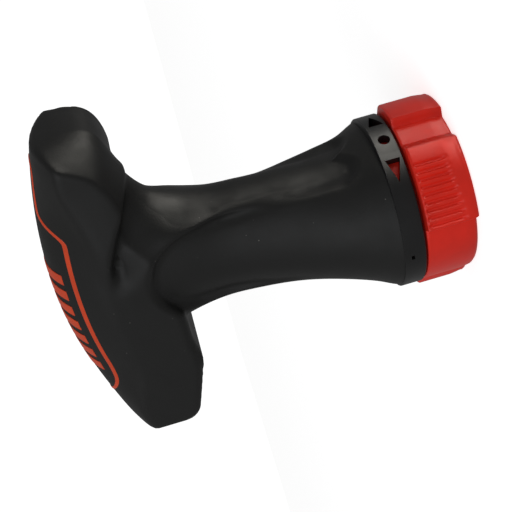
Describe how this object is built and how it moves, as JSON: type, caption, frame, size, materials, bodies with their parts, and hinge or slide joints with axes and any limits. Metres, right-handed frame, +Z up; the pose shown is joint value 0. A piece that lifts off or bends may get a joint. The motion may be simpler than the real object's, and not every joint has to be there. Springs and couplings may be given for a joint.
{
  "type": "t-handle ratchet screwdriver",
  "caption": "T-handle ratchet bit driver with a soft grip, a lobed selector ring, a window collar and a recessed hex bit socket.",
  "frame": {"origin": "on the tool axis, in the plane of the selector ring's front face, where the tool stands", "axes": "+Z up the tool axis from the bit socket to the crown, +X along the slim arm of the T, +Y to the back"},
  "size_m": [0.085, 0.0434, 0.0988],
  "materials": {
    "grip_elastomer": "matte moulded elastomer with a fine eroded grain",
    "hard_nylon": "satin moulded nylon",
    "red_inlay": "satin moulded inlay",
    "red_nylon": "satin moulded nylon with fine ribs",
    "zinc_casting": "die-cast zinc, as cast and tumbled",
    "zinc_screws": "zinc plated",
    "bronze": "sintered and oiled",
    "hardened_steel": "ground and hardened",
    "spring_steel": "drawn wire or blued strip",
    "sintered_steel": "sintered, dull grey",
    "chrome_steel": "turned and satin nickel plated",
    "magnet_nickel": "nickel plated"
  },
  "bodies": {
    "handle": {"soft_grip": "grip_elastomer", "handle_core": "hard_nylon", "crown_outline": "red_inlay", "crown_marks": "red_inlay", "window_collar": "hard_nylon", "collar_screws": "zinc_screws", "ratchet_housing": "zinc_casting", "front_plate": "zinc_casting", "plate_screws": "zinc_screws", "front_bush": "bronze", "rear_bush": "bronze", "pawl_pins": "hardened_steel", "pawl_springs": "spring_steel", "detent_spring": "spring_steel", "ring_retainer": "spring_steel"},
    "selector": {"selector_ring": "red_nylon", "nose_cap": "hard_nylon", "selector_sleeve": "red_nylon", "cam_ring": "sintered_steel"},
    "spindle": {"spindle": "chrome_steel", "ratchet_gear": "sintered_steel", "gear_key": "hardened_steel", "bit_clip": "spring_steel", "socket_magnet": "magnet_nickel", "thrust_washer": "bronze", "rear_circlip": "spring_steel"},
    "pawl_forward": {"pawl_forward": "hardened_steel"},
    "pawl_reverse": {"pawl_reverse": "hardened_steel"},
    "detent_ball": {"detent_ball": "hardened_steel"}
  },
  "joints": [
    {"name": "selector_turn", "type": "hinge", "parent": "handle", "child": "selector", "pos_m": [0, 0, 0.006], "axis": [0, 0, 1], "range_deg": [-20, 20]},
    {"name": "spindle_spin", "type": "hinge", "parent": "handle", "child": "spindle", "pos_m": [0, 0, 0.02], "axis": [0, 0, 1], "continuous": true},
    {"name": "pawl_forward_rock", "type": "hinge", "parent": "handle", "child": "pawl_forward", "pos_m": [0.00443, 0.00996, 0.011], "axis": [0, 0, 1], "range_deg": [-6, 6]},
    {"name": "pawl_reverse_rock", "type": "hinge", "parent": "handle", "child": "pawl_reverse", "pos_m": [-0.00443, 0.00996, 0.011], "axis": [0, 0, 1], "range_deg": [-6, 6]},
    {"name": "detent_slide", "type": "slide", "parent": "handle", "child": "detent_ball", "axis": [0, -1, 0], "range_m": [0, 0.00035]}
  ],
  "couplings": [
    {"joint": "pawl_forward_rock", "follows": "selector_turn", "ratio": 0.3},
    {"joint": "pawl_reverse_rock", "follows": "selector_turn", "ratio": 0.3}
  ]
}
